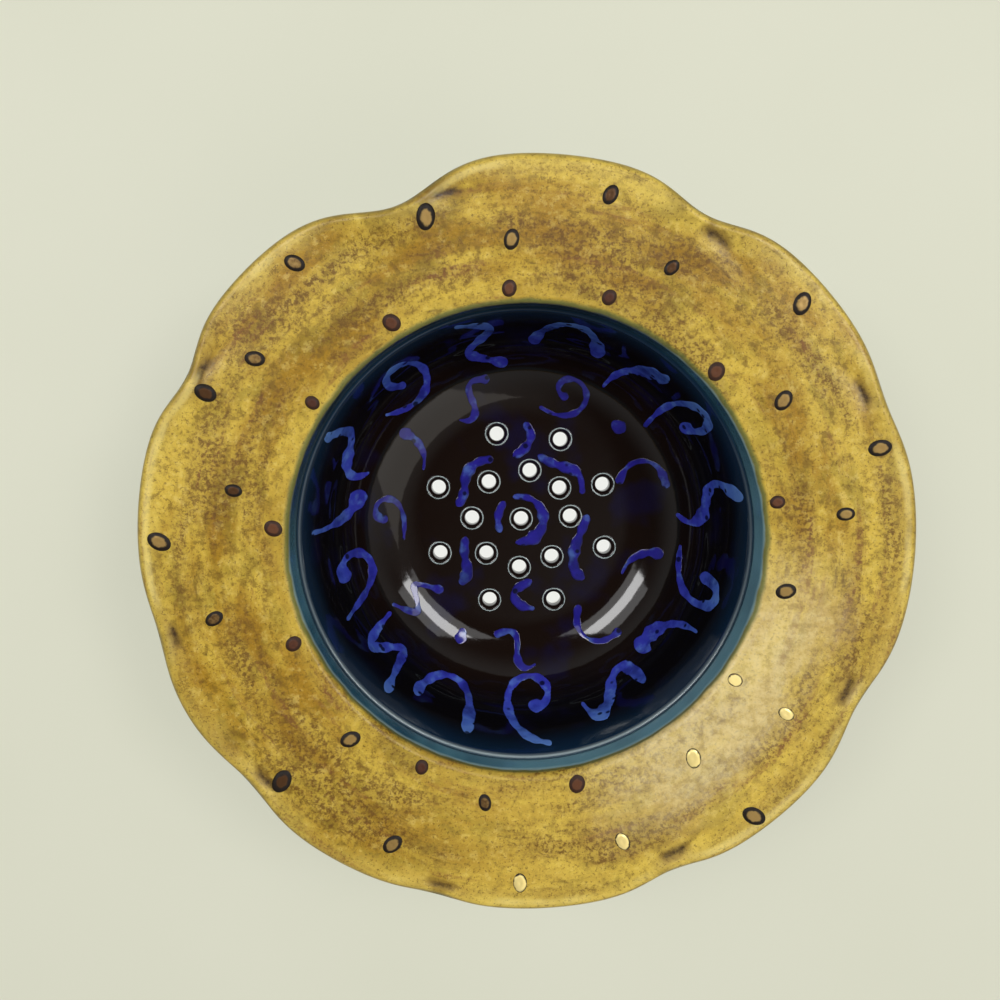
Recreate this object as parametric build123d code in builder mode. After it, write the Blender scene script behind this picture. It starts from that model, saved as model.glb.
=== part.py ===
from build123d import *
from math import cos, degrees, exp, radians, sin, sqrt, tan
import os

# Berry bowl with a pinched rim, in mm. It stands on z = 0, centred on the z axis.

# Foot ring
foot_radius = 43.5
foot_width = 7
foot_height = 7
foot_taper = 1
foot_break = 1.2
drain_arches = 4
arch_width = 12
arch_height = 4

# Well
lip_radius = 66
well_depth = 47
wall_thick = 5.5
wall_lean = 8
heel_radius = 28
floor_thick = 6
base_height = 3
lip_break = 0.8

# Drain holes: one in the middle and two rings drilled by eye, with angles in degrees
hole_bore = 5.5
hole_sink = 1.2
inner_ring_radius = 17
outer_ring_radius = 30.5
hole_rings = [
    (0, [0]),
    (inner_ring_radius, [80, 39, 3, -51, -92, -135, 179, 131]),
    (outer_ring_radius, [106, 64, 23, -19, -68, -111, -157, 159]),
]

# Rim
rim_reach = 107
rim_oval = 1
rim_root_thick = 5.5
rim_edge_thick = 4.2
rim_rise = 5
rim_ledge = 1
mouth_round = 2.2
root_round = 6
fold_width = 16
ring_points = 72

# Pinches round the edge: angle, how far in, half width in degrees, how far up
pinches = [
    (22, 2.2, 7, 1.4),
    (62, 5.0, 7.5, 2.2),
    (111, 8.0, 9.5, 3.2),
    (153, 4.0, 6.5, 2.0),
    (193, 2.0, 7, 1.4),
    (220, 3.4, 8, 1.8),
    (255, 1.8, 6, 1.4),
    (294, 3.2, 6.5, 1.8),
    (334, 3.8, 8, 1.8),
]

# Glaze drops: angle in degrees and place across the rim, from the mouth (0) to the edge (1)
drop_height = 1.1
drop_overhang = 0.8
drop_clear = 0.1
drop_sides = 8
outer_drop_size = 6.6
middle_drop_size = 5.8
inner_drop_size = 4.8
outer_drops = [
    (16, 0.96), (42, 0.92), (77, 0.89), (107, 0.95), (129, 0.93), (154, 0.95),
    (179, 0.97), (193, 0.63), (224, 0.91), (246, 0.78), (269, 0.90), (310, 1.0),
]
middle_drops = [
    (6, 0.55), (30, 0.32), (63, 0.56), (93, 0.42), (145, 0.63), (169, 0.36),
    (228, 0.13), (261, 0.15), (288, 0.66), (308, 0.22), (327, 0.57), (350, 0.09),
]
inner_drops = [
    (10, 0), (43, 0), (72, 0.03), (94, 0), (121, 0.03), (146, 0.01),
    (176, 0), (203, 0.02), (245, 0), (282, 0), (327, 0),
]

# Radii and levels worked out from the sizes above
floor_level = foot_height + floor_thick
seat_level = floor_level + well_depth
wall_run = well_depth * tan(radians(wall_lean))
seat_radius = lip_radius + wall_thick / cos(radians(wall_lean))
mouth_radius = lip_radius + rim_ledge
rim_level = seat_level + root_round + rim_root_thick
heel_start = lip_radius - wall_run - heel_radius * tan(radians((90 - wall_lean) / 2))
outer_heel = seat_radius - wall_run * (seat_level - foot_height) / well_depth


def floor_height(radius):
    """Height of the well's floor, which is flat as far as the heel and then turns up."""
    past = max(0, radius - heel_start)
    return floor_level + heel_radius - sqrt(heel_radius**2 - past**2)


def corner(section, across, up):
    """Corner of a section that is nearest to a point."""
    return section.vertices().sort_by_distance((across, up))[0]


def edge_dent(angle, column):
    """Sum of the pinches at an angle: column 1 is the inward push, column 3 the upward one."""
    total = 0
    for pinch in pinches:
        away = (angle - pinch[0] + 180) % 360 - 180
        total += pinch[column] * exp(-((away / pinch[2]) ** 2))
    return total


def edge_radius(angle):
    return rim_reach + rim_oval * cos(radians(2 * angle)) - edge_dent(angle, 1)


def top_height(radius, angle):
    """Height of the rim's upper face: a shallow dish that turns up into each pinch."""
    across = (radius - mouth_radius) / (rim_reach - mouth_radius)
    fold = max(0, 1 - (edge_radius(angle) - radius) / fold_width)
    return rim_level + rim_rise * across * (1.3 - 0.3 * across) + edge_dent(angle, 3) * fold**2


def ring(place):
    """Closed curve round the bowl through place(angle), which gives a radius and a height."""
    points = []
    for step in range(ring_points):
        angle = 360 * step / ring_points
        radius, height = place(angle)
        points.append((radius * cos(radians(angle)), radius * sin(radians(angle)), height))
    with BuildLine() as curve:
        Spline(*points, periodic=True)
    return curve.wire()


def upper_ring(share):
    """Ring on the upper face, at a share of the way from the mouth's round to the edge's."""

    def place(angle):
        start = mouth_radius + mouth_round
        radius = start + (edge_radius(angle) - rim_edge_thick / 2 - start) * share
        return radius, top_height(radius, angle)

    return ring(place)


def lower_ring(share):
    """Ring on the lower face, at a share of the way from the root's round to the edge's."""

    def place(angle):
        start = seat_radius + root_round
        radius = start + (edge_radius(angle) - rim_edge_thick / 2 - start) * share
        thick = rim_root_thick + (rim_edge_thick - rim_root_thick) * share
        return radius, top_height(radius, angle) - thick

    return ring(place)


def edge_ring(turn):
    """Ring on the rounded outer edge, from turn 90 at its top to turn -90 at its bottom."""
    half = rim_edge_thick / 2

    def place(angle):
        middle = edge_radius(angle) - half
        height = top_height(middle, angle) - half + half * sin(radians(turn))
        return middle + half * cos(radians(turn)), height

    return ring(place)


def mouth_ring(turn):
    """Ring on the rounded corner of the mouth, from turn 180 at its side to turn 90 on top."""
    middle = mouth_radius + mouth_round

    def place(angle):
        height = top_height(middle, angle) - mouth_round + mouth_round * sin(radians(turn))
        return middle + mouth_round * cos(radians(turn)), height

    return ring(place)


def root_ring(turn):
    """Ring on the hollow under the rim, from turn 90 at its top to turn 180 on the seat."""
    middle = seat_radius + root_round

    def place(angle):
        rise = top_height(middle, angle) - rim_root_thick - seat_level
        return middle + root_round * cos(radians(turn)), seat_level + rise * sin(radians(turn))

    return ring(place)


# Well: a thick bowl on a base, with drain holes that are eased at the top
with BuildPart() as well:
    with BuildSketch(Plane.XZ) as wall_section:
        with BuildLine():
            Polyline(
                (0, foot_height),
                (outer_heel, foot_height),
                (seat_radius, seat_level),
                (lip_radius, seat_level),
                (lip_radius - wall_run, floor_level),
                (0, floor_level),
                close=True,
            )
        make_face()
        fillet(corner(wall_section, lip_radius - wall_run, floor_level), heel_radius)
        fillet(corner(wall_section, outer_heel, foot_height), heel_radius + wall_thick)
        chamfer(corner(wall_section, lip_radius, seat_level), lip_break)
        with Locations((0, foot_height)):
            Rectangle(foot_radius, base_height, align=(Align.MIN, Align.MIN))
    revolve(axis=Axis.Z)
    for ring_radius, ring_angles in hole_rings:
        for angle in ring_angles:
            place = Vector(ring_radius, 0, floor_height(ring_radius)).rotate(Axis.Z, angle)
            with Locations(place):
                CounterSinkHole(hole_bore / 2, hole_bore / 2 + hole_sink, counter_sink_angle=90)

# Foot ring: turned, tapering to the ground, with arches that let the water out
with BuildPart() as foot_ring:
    with BuildSketch(Plane.XZ) as foot_section:
        with BuildLine():
            Polyline(
                (foot_radius - foot_width, foot_height),
                (foot_radius, foot_height),
                (foot_radius - foot_taper, 0),
                (foot_radius - foot_width + foot_taper, 0),
                close=True,
            )
        make_face()
        chamfer(foot_section.vertices().group_by(Axis.Y)[0], foot_break)
    revolve(axis=Axis.Z)
    arch_radius = (arch_width**2 / 4 + arch_height**2) / (2 * arch_height)
    with PolarLocations(foot_radius - foot_width / 2, drain_arches, start_angle=45):
        with Locations((0, 0, arch_height - arch_radius)):
            Cylinder(arch_radius, 3 * foot_width, rotation=(0, 90, 0), mode=Mode.SUBTRACT)

# Rim: a skin of lofts through rings, from the mouth over the edge to the root, and its seat
upper_face = Shell.make_loft([upper_ring(share) for share in (0, 0.25, 0.5, 0.75, 1)]).face()
mouth_foot = ring(lambda angle: (mouth_radius, seat_level))
bands = [
    [mouth_foot] + [mouth_ring(turn) for turn in (180, 150, 120, 90)],
    [edge_ring(turn) for turn in (90, 45, 0, -45, -90)],
    [lower_ring(share) for share in (1, 0.7, 0.35, 0)],
    [root_ring(turn) for turn in (90, 120, 150, 180)],
]
skin = [upper_face, Face(bands[-1][-1], [mouth_foot])]
for band in bands:
    for first, second in zip(band, band[1:]):
        skin += Shell.make_loft([first, second]).faces()
with BuildPart() as rim:
    add(Solid(Shell(skin)))


def rim_spot(radius, angle):
    """Point on the rim's upper face, and the face's normal there, which points up."""
    below = Vector(radius, 0).rotate(Axis.Z, angle)
    point, normal = upper_face.find_intersection_points(Axis(below, (0, 0, 1)))[0]
    return point, normal if normal.Z > 0 else -normal


def drop_plane(angle, share, size):
    """Plane on which a drop of this size rests on the rim's upper face, clear of its hollows."""
    inside = mouth_radius + mouth_round
    start = inside + size / 2 - drop_overhang
    end = edge_radius(angle) - rim_edge_thick / 2 - size / 2 - drop_clear
    radius = start + (end - start) * share
    middle, normal = rim_spot(radius, angle)
    lift = 0
    for turn in range(0, 360, 45):
        ahead = max(inside + drop_clear, radius + size / 2 * cos(radians(turn)))
        aside = degrees(size / 2 * sin(radians(turn)) / radius)
        lift = max(lift, (rim_spot(ahead, angle + aside)[0] - middle).dot(normal))
    return Plane(origin=middle + normal * lift, z_dir=normal)


def drop_row(places, size):
    """Row of low glaze drops, each seated on the face of the rim that it melted onto."""
    tiers = [(0, 1), (drop_height * 0.6, 0.8), (drop_height, 0.4)]
    with BuildPart() as row:
        for angle, share in places:
            plane = drop_plane(angle, share, size)
            for height, width in tiers:
                with BuildSketch(plane.offset(height)):
                    RegularPolygon(size / 2 * width, drop_sides)
            loft(ruled=True)
    return row


drops_outer = drop_row(outer_drops, outer_drop_size)
drops_middle = drop_row(middle_drops, middle_drop_size)
drops_inner = drop_row(inner_drops, inner_drop_size)

os.makedirs("parts", exist_ok=True)
pieces = {
    "well": well,
    "foot_ring": foot_ring,
    "rim": rim,
    "drops_outer": drops_outer,
    "drops_middle": drops_middle,
    "drops_inner": drops_inner,
}
for name, piece in pieces.items():
    piece.part.label = name
    export_step(piece.part, f"parts/{name}.step")
    print(name, len(piece.part.solids()), "solids", round(piece.part.volume), "mm3")
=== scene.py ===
# %% [markdown]
# # Berry bowl with a pinched rim
# A hand-thrown colander bowl: a deep glazed well with drain holes, a wide rim whose edge was
# pinched in by thumb while the clay was soft, and a turned foot. The clay form comes from the
# CAD model. This lesson gives it the soft edges, the melted glazes and the trailed marks that
# make it pottery. Every piece is placed in the frame of the CAD model, in metres.

# %% Load the frame
import math

import bpy
import numpy as np
from mathutils import Matrix, Vector


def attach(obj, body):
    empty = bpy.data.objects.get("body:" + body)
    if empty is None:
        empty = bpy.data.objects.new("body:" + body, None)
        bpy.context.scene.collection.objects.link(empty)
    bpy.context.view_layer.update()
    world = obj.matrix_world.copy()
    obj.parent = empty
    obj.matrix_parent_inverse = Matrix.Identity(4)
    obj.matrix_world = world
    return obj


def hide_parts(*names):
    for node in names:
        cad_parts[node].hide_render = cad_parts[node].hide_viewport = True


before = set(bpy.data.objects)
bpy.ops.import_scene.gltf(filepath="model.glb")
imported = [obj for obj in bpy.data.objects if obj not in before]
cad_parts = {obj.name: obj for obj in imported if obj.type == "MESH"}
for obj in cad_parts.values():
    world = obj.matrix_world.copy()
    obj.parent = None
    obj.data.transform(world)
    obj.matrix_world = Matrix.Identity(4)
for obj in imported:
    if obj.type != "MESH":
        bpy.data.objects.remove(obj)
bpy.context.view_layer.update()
mm = 0.001
print("CAD nodes:", ", ".join(sorted(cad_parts)))

# %% [markdown]
# ## The bowl's own measures
# A potter works from a few gauges: how wide the mouth is, how deep the well, how far the rim
# reaches, and where the thumb went in. The same figures drive the CAD model, so the pieces made
# here fall on its faces. They are kept in millimetres and scaled once, when a mesh is made.

# %% Measures
floor_level, seat_level, foot_level = 13.0, 60.0, 7.0
lip_radius, mouth_radius, seat_radius = 66.0, 67.0, 71.55
heel_start, heel_round, wall_lean = 35.05, 28.0, math.radians(8)
wall_thick, foot_radius = 5.5, 43.5
rim_level, rim_rise, rim_reach, rim_oval = 71.5, 5.0, 107.0, 1.0
root_thick, edge_thick, mouth_round, root_round, fold_width = 5.5, 4.2, 2.2, 6.0, 16.0

# angle, how far in, half width in degrees, how far up
pinches = [
    (22, 2.2, 7, 1.4), (62, 5.0, 7.5, 2.2), (111, 8.0, 9.5, 3.2),
    (153, 4.0, 6.5, 2.0), (193, 2.0, 7, 1.4), (220, 3.4, 8, 1.8),
    (255, 1.8, 6, 1.4), (294, 3.2, 6.5, 1.8), (334, 3.8, 8, 1.8),
]
print("rim", rim_reach - mouth_radius, "mm wide with", len(pinches), "pinches")

# %% Rules for the rim
dish, edge_sink = 0.3, 0.4


def edge_dent(angle, column):
    """Sum of the pinches at angles in degrees: column 1 is the inward push, 3 the upward one."""
    total = 0
    for pinch in pinches:
        away = (angle - pinch[0] + 180) % 360 - 180
        total = total + pinch[column] * np.exp(-((away / pinch[2]) ** 2))
    return total


def edge_radius(angle):
    return rim_reach + rim_oval * np.cos(np.radians(2 * angle)) - edge_dent(angle, 1)


def plain_top(radius):
    """Height of the rim's upper face without its pinches, a shallow dish."""
    across = (radius - mouth_radius) / (rim_reach - mouth_radius)
    return rim_level + rim_rise * across * (1 + dish - dish * across)


def top_height(radius, angle):
    """Height of the same face where it turns up into each pinch."""
    fold = np.maximum(0, 1 - (edge_radius(angle) - radius) / fold_width)
    return plain_top(radius) + edge_dent(angle, 3) * fold**2


def face_height(radius, angle):
    """The same face as it came out of the kiln, sunk a little towards the edge and not quite even."""
    start = mouth_radius + mouth_round
    share = (radius - start) / (edge_radius(angle) - edge_thick / 2 - start)
    wobble = 0.25 * np.sin(np.radians(3 * angle + 40)) + 0.15 * np.sin(np.radians(7 * angle + 10))
    return top_height(radius, angle) + (wobble - edge_sink) * np.clip(share, 0, 1)


print("rim edge from", round(float(edge_radius(111.0)), 1), "to", round(float(edge_radius(0.0)), 1), "mm")

# %% [markdown]
# ## Turning on the wheel
# Everything round on this bowl was turned, and Spin is Blender's wheel. A ring of vertices is
# laid into the outline of half a slice through the clay, then spun once about the z axis. The
# seam is merged afterwards and the faces are made to point outwards, because Spin leaves both
# open. Smooth shading lets the rounded corners catch the light as glaze does.

# %% The wheel
seam_gap = 0.001


def deselect():
    if bpy.context.mode != "OBJECT":
        bpy.ops.object.mode_set(mode="OBJECT")
    bpy.ops.object.select_all(action="DESELECT")


def edit_all():
    """Enter edit mode with the whole mesh selected."""
    bpy.ops.object.mode_set(mode="EDIT")
    bpy.ops.mesh.select_all(action="SELECT")


def leave_edit():
    bpy.ops.object.mode_set(mode="OBJECT")


def turn(name, section, steps):
    """Spin a closed section, given as radius and height in millimetres, once round the z axis."""
    deselect()
    bpy.ops.mesh.primitive_circle_add(vertices=len(section), radius=mm)
    piece = bpy.context.object
    piece.name = piece.data.name = name
    for vertex, (radius, height) in zip(piece.data.vertices, section):
        vertex.co = (radius * mm, 0, height * mm)
    edit_all()
    bpy.ops.mesh.spin(steps=steps, angle=math.tau, center=(0, 0, 0), axis=(0, 0, 1))
    bpy.ops.mesh.select_all(action="SELECT")
    bpy.ops.mesh.remove_doubles(threshold=seam_gap * mm)
    bpy.ops.mesh.normals_make_consistent(inside=False)
    leave_edit()
    bpy.ops.object.shade_smooth()
    return piece


print("wheel ready")

# %% [markdown]
# ## The rim
# The rim is a wide flange that turns up a little towards its edge, with a short collar that drops
# to the lip of the well. It is turned as a plain ring first. Then each vertex is moved by the
# same rule as the clay under a thumb: the edge goes in and up at a pinch, and the movement fades
# towards the mouth. A shallow hollow with a crease in it is left a thumb's width inside each pinch.
# The edge is kept back by a hundredth of a millimetre, so the rim stays inside the CAD box.

# %% Turn the rim
def arc(middle, size, start, end, count):
    """Points on an arc in a section, from one angle in degrees to another, without the last."""
    turns = np.radians(np.linspace(start, end, count, endpoint=False))
    return [(middle[0] + size[0] * math.cos(t), middle[1] + size[1] * math.sin(t)) for t in turns]


def run(first, last, count):
    """Points on a straight run in a section, without the last."""
    return [tuple(p) for p in np.linspace(first, last, count, endpoint=False)]


half_edge = edge_thick / 2
mouth_middle = mouth_radius + mouth_round
edge_middle = rim_reach - half_edge
root_middle = seat_radius + root_round
collar_top = plain_top(mouth_middle) - mouth_round
edge_level = plain_top(edge_middle) - half_edge

# points along each stretch of the section, and steps round the bowl
collar_points, mouth_points, face_points, edge_points = 10, 12, 56, 14
under_points, root_points, seat_points = 14, 7, 3
rim_steps = 720
face_radii = np.linspace(mouth_middle, edge_middle, face_points, endpoint=False)
upper = [(r, plain_top(r)) for r in face_radii]
lower = []
for share in np.linspace(1, 0, under_points, endpoint=False):
    r = root_middle + (edge_middle - root_middle) * share
    lower.append((r, plain_top(r) - root_thick - (edge_thick - root_thick) * share))
root_rise = plain_top(root_middle) - root_thick - seat_level
rim_section = (
    run((mouth_radius, seat_level), (mouth_radius, collar_top), collar_points)
    + arc((mouth_middle, collar_top), (mouth_round, mouth_round), 180, 90, mouth_points)
    + upper
    + arc((edge_middle, edge_level), (half_edge, half_edge), 90, -90, edge_points)
    + lower
    + arc((root_middle, seat_level), (root_round, root_rise), 90, 180, root_points)
    + run((seat_radius, seat_level), (mouth_radius, seat_level), seat_points)
)
rim = turn("rim_glazed", rim_section, rim_steps)
print("rim turned with", len(rim.data.vertices), "vertices")

# %% Where each vertex lies
def points_of(piece):
    """The vertices of a mesh as an array in millimetres."""
    flat = np.empty(len(piece.data.vertices) * 3)
    piece.data.vertices.foreach_get("co", flat)
    return flat.reshape(-1, 3) / mm


def girth_of(section):
    """Length along a section from its first point, in millimetres."""
    steps = np.linalg.norm(np.diff(np.array(section), axis=0), axis=1)
    return np.concatenate([[0], np.cumsum(steps)])


plain = points_of(rim)
radius = np.hypot(plain[:, 0], plain[:, 1])
angle = np.degrees(np.arctan2(plain[:, 1], plain[:, 0]))
section_points = np.array(rim_section)
girths = girth_of(rim_section)
spots = np.stack([radius, plain[:, 2]], axis=1)
nearest = np.empty(len(spots), dtype=int)
batches = 60
for part in np.array_split(np.arange(len(spots)), batches):
    apart = ((spots[part, None, :] - section_points[None, :, :]) ** 2).sum(axis=2)
    nearest[part] = apart.argmin(axis=1)
print("girth of the rim's section", round(float(girths[-1])), "mm")

# %% Creases and hollows
on_face = np.clip(radius, mouth_middle, edge_middle)
beyond = radius - on_face
below = plain_top(on_face) - plain[:, 2]
share = (on_face - mouth_middle) / (edge_middle - mouth_middle)
pinched = mouth_middle + (edge_radius(angle) - half_edge - mouth_middle) * share

# creases: angle, radius, length and width in millimetres
creases = [
    (25, 100.6, 5.0, 1.7), (59, 98.0, 5.4, 2.0), (103, 98.0, 5.6, 1.9), (151, 100.4, 5.0, 1.8),
    (194, 101.5, 4.2, 1.6), (222, 99.5, 5.0, 1.8), (256, 101.0, 4.6, 1.6), (296, 98.4, 5.6, 1.9),
    (336, 99.2, 5.4, 1.8),
]
crease_bow, hollow_longer, hollow_wider = 0.02, 1.8, 1.9
crease = np.zeros(len(plain))
hollow = np.zeros(len(plain))
for at, reach, length, width in creases:
    along = np.radians((angle - at + 180) % 360 - 180) * reach
    inward = pinched - reach + crease_bow * along**2
    crease = np.maximum(crease, np.exp(-((along / length) ** 4) - (inward / width) ** 2))
    along, inward = along / length / hollow_longer, inward / width / hollow_wider
    hollow = np.maximum(hollow, np.exp(-(along**2) - inward**2))
face_start = collar_points + mouth_points
top_of_edge = 6
top_side = (nearest > face_start) & (nearest < face_start + face_points + top_of_edge)
crease = np.where(top_side, crease, 0)
hollow = np.where(top_side, hollow, 0)
print("creases pressed at", len(creases), "places")

# %% Pinch the rim
def place_points(piece, points):
    piece.data.vertices.foreach_set("co", (points * mm).ravel())
    piece.data.update()


def mark(piece, name, values):
    """Keep one number for each vertex, for a finish to read."""
    layer = piece.data.attributes.new(name, "FLOAT", "POINT")
    layer.data.foreach_set("value", np.asarray(values, dtype=np.float32))


# places nearer to each other than a touch count as one
touch, kept_back = 0.01, 0.01
crease_depth, hollow_depth, deep_pinch = 0.2, 0.7, 5
moved = pinched + beyond - kept_back * share
height = face_height(pinched, angle) - below - crease_depth * crease - hollow_depth * hollow
height = np.where(plain[:, 2] < seat_level + touch, plain[:, 2], height)
place_points(rim, np.stack([
    moved * np.cos(np.radians(angle)), moved * np.sin(np.radians(angle)), height], axis=1))
mark(rim, "girth", girths[nearest])
mark(rim, "crease", crease)
mark(rim, "pinch", np.clip(edge_dent(angle, 1) / deep_pinch, 0, 1) * share**3)
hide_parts("rim")
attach(rim, "root")
print("rim pinched, from", round(height.min(), 1), "to", round(height.max(), 1), "mm high")

# %% [markdown]
# ## The well
# The well is the bowl proper. Its wall leans out by eight degrees from a rounded heel, and the
# flat floor is drilled. The turned part stops at the edge of the floor. The floor is then filled
# as a flat plate round seventeen open rings, because a boolean cut would leave uneven corners that
# spoil the mirror of the glaze. Each hole is a small sleeve with a bead of glaze round it, extruded
# ring by ring and copied. The plates are shaded flat, so they mirror as one surface.

# %% Turn the wall
heel_top = floor_level + heel_round * (1 - math.sin(wall_lean))
heel_wide = heel_start + heel_round * math.cos(wall_lean)
outer_round = heel_round + wall_thick
outer_start = seat_radius - math.tan(wall_lean) * (seat_level - foot_level)
outer_start -= outer_round * math.tan((math.pi / 2 - wall_lean) / 2)
base_turn = math.degrees(math.asin((foot_radius - outer_start) / outer_round))
lean = math.degrees(wall_lean)
lip_round = 0.75
lip_middle = (lip_radius + lip_round, seat_level - lip_round)
lip_foot = lip_radius - math.tan(wall_lean) * lip_round
outer_middle = (outer_start, foot_level + outer_round)
outer_top = (
    outer_start + outer_round * math.cos(wall_lean),
    outer_middle[1] - outer_round * math.sin(wall_lean),
)
base_edge = 1.1
heel_points, wall_points, lip_points, ledge_points = 44, 30, 8, 3
outside_points, turn_points, side_points, base_points = 16, 24, 2, 3
well_steps = 360
well_section = (
    arc((heel_start, floor_level + heel_round), (heel_round, heel_round), -90, -lean, heel_points)
    + run((heel_wide, heel_top), (lip_foot, seat_level - lip_round), wall_points)
    + arc(lip_middle, (lip_round, lip_round), 180, 90, lip_points)
    + run((lip_middle[0], seat_level), (seat_radius, seat_level), ledge_points)
    + run((seat_radius, seat_level), outer_top, outside_points)
    + arc(outer_middle, (outer_round, outer_round), -lean, base_turn - 90, turn_points)
    + run((foot_radius, foot_level + base_edge), (foot_radius, foot_level), side_points)
    + run((foot_radius, foot_level), (heel_start, foot_level), base_points)
    + [(heel_start, foot_level)]
)
well = turn("well_glazed", well_section, well_steps)
bpy.ops.object.mode_set(mode="EDIT")
bpy.ops.mesh.select_all(action="DESELECT")
leave_edit()
corners = well.data.vertices
for face in well.data.polygons:
    reach = max(corners[i].co.xy.length for i in face.vertices)
    face.select = reach < (heel_start + touch) * mm
bpy.ops.object.mode_set(mode="EDIT")
bpy.ops.mesh.delete(type="ONLY_FACE")
leave_edit()
print("wall turned, open ring of radius", heel_start, "mm left for the floor")

# %% Floor with its holes
# ring radius, then the angles at which the holes were drilled by eye
hole_rings = [
    (0, [0]),
    (17, [80, 39, 3, -51, -92, -135, 179, 131]),
    (30.5, [106, 64, 23, -19, -68, -111, -157, 159]),
]
holes = []
for reach, turns in hole_rings:
    for t in turns:
        holes.append((reach * math.cos(math.radians(t)), reach * math.sin(math.radians(t))))
hole_sides = 40
bead_reach, bead_crest, bead_height = 4.2, 3.85, 0.12
bore, bore_round, flare = 2.4, 2.0, 1.0


def plate(name, height, hole_radius, up):
    """Flat disc with round openings, filled between rings of edges."""
    deselect()
    bpy.ops.mesh.primitive_circle_add(
        vertices=well_steps, radius=heel_start * mm, location=(0, 0, height * mm))
    piece = bpy.context.object
    piece.name = name
    bpy.ops.object.transform_apply(location=True, rotation=True, scale=True)
    bpy.ops.object.mode_set(mode="EDIT")
    for x, y in holes:
        bpy.ops.mesh.primitive_circle_add(
            vertices=hole_sides, radius=hole_radius * mm, location=(x * mm, y * mm, height * mm))
    bpy.ops.mesh.select_all(action="SELECT")
    bpy.ops.mesh.fill(use_beauty=True)
    leave_edit()
    if (piece.data.polygons[0].normal.z > 0) != up:
        edit_all()
        bpy.ops.mesh.flip_normals()
        leave_edit()
    return piece


floor_plate = plate("floor_plate", floor_level, bead_reach, True)
under_plate = plate("under_plate", foot_level, bore + flare, False)
print("floor filled with", len(floor_plate.data.polygons), "faces round", len(holes), "holes")

# %% One sleeve
sleeve_top = floor_level + bead_height
bead_points, brim_points, bore_points, flare_points = 6, 10, 3, 6
sleeve_section = []
for t in np.linspace(0, 1, bead_points, endpoint=False):
    lift = bead_height * math.sin(math.pi / 2 * t) ** 2
    sleeve_section.append((bead_reach + (bead_crest - bead_reach) * t, floor_level + lift))
brim_level = sleeve_top - bore_round
sleeve_section += arc((bead_crest, brim_level), (bore - bead_crest, bore_round), 90, 0, brim_points)
sleeve_section += run((bore, brim_level), (bore, foot_level + flare), bore_points)
sleeve_section += arc((bore + flare, foot_level + flare), (flare, flare), 180, 270, flare_points)
sleeve_section.append((bore + flare, foot_level))

deselect()
bpy.ops.mesh.primitive_circle_add(vertices=hole_sides, radius=bead_reach * mm)
sleeve = bpy.context.object
edit_all()
bpy.ops.transform.translate(value=(0, 0, floor_level * mm))
for (r0, z0), (r1, z1) in zip(sleeve_section, sleeve_section[1:]):
    bpy.ops.mesh.extrude_region()
    bpy.ops.transform.resize(value=(r1 / r0, r1 / r0, 1), center_override=(0, 0, z0 * mm))
    bpy.ops.transform.translate(value=(0, 0, (z1 - z0) * mm))
leave_edit()
print("sleeve extruded through", len(sleeve_section), "rings")

# %% Sleeves in all the holes
def joined(pieces, name):
    """Join pieces into the first of them and name the whole."""
    deselect()
    for piece in pieces:
        piece.select_set(True)
    bpy.context.view_layer.objects.active = pieces[0]
    bpy.ops.object.join()
    whole = bpy.context.object
    whole.name = whole.data.name = name
    return whole


sleeves = [sleeve]
for x, y in holes[1:]:
    copy = sleeve.copy()
    copy.data = sleeve.data.copy()
    bpy.context.collection.objects.link(copy)
    place_points(copy, points_of(sleeve) + np.array([x, y, 0]))
    sleeves.append(copy)
well = joined([well, floor_plate, under_plate, *sleeves], "well_glazed")
edit_all()
bpy.ops.mesh.remove_doubles(threshold=touch * mm)
bpy.ops.mesh.normals_make_consistent(inside=False)
leave_edit()
sharp_turn, level_normal = 50, 0.99999
bpy.ops.object.shade_smooth_by_angle(angle=math.radians(sharp_turn))
for face in well.data.polygons:
    face.use_smooth = abs(face.normal.z) < level_normal
print("well holds", len(well.data.polygons), "faces")

# %% Marks on the well
points = points_of(well)
radius, height = np.hypot(points[:, 0], points[:, 1]), points[:, 2]
heel_drop = floor_level + heel_round - height
inner_face = np.where(
    height > heel_top,
    heel_wide + np.tan(wall_lean) * (height - heel_top),
    heel_start + np.sqrt(np.maximum(0, heel_round**2 - heel_drop**2)))
into_wall, hair = 1.2, 0.02
inside = (radius < inner_face + into_wall) & (height > floor_level - hair)
near_hole = np.min([np.hypot(points[:, 0] - x, points[:, 1] - y) for x, y in holes], axis=0)
bored = (near_hole < bead_reach + touch) & (height > foot_level + hair)
mark(well, "inside", inside | bored)

# pale highlight lines painted on the crests of the beads, where the glaze also breaks thin, and on the
# lip nearest the eye
ring_width, ring_depth = 0.13, 1.5
lip_crest, lip_width, lip_depth, lip_strength = 0.3, 0.35, 0.8, 0.55
ring_break_and_glint = np.exp(-(((near_hole - bead_crest) / ring_width) ** 2))
ring_break_and_glint = np.where(height > floor_level - ring_depth, ring_break_and_glint, 0)
lip_glint = np.exp(-(((radius - lip_radius - lip_crest) / lip_width) ** 2))
lip_glint = lip_glint * (height > seat_level - lip_depth)
lip_glint_side = np.clip(0.35 - 0.65 * points[:, 1] / np.maximum(radius, 1), 0, 1)
mark(well, "glaze_break", np.maximum(ring_break_and_glint, lip_strength * lip_glint * lip_glint_side))
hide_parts("well")
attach(well, "root")
print("glazed inside on", int(inside.sum()), "of", len(points), "vertices")

# %% [markdown]
# ## Glaze drops on the rim
# Small dabs of lustre were set on the rim before the last firing and melted into low ovals.
# One half sphere is cut with Bisect and copied to each place. A copy is flattened to an oval of its
# own size, turned to the slope of the rim and sunk a little, so that its edge meets the glaze all round.

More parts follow.
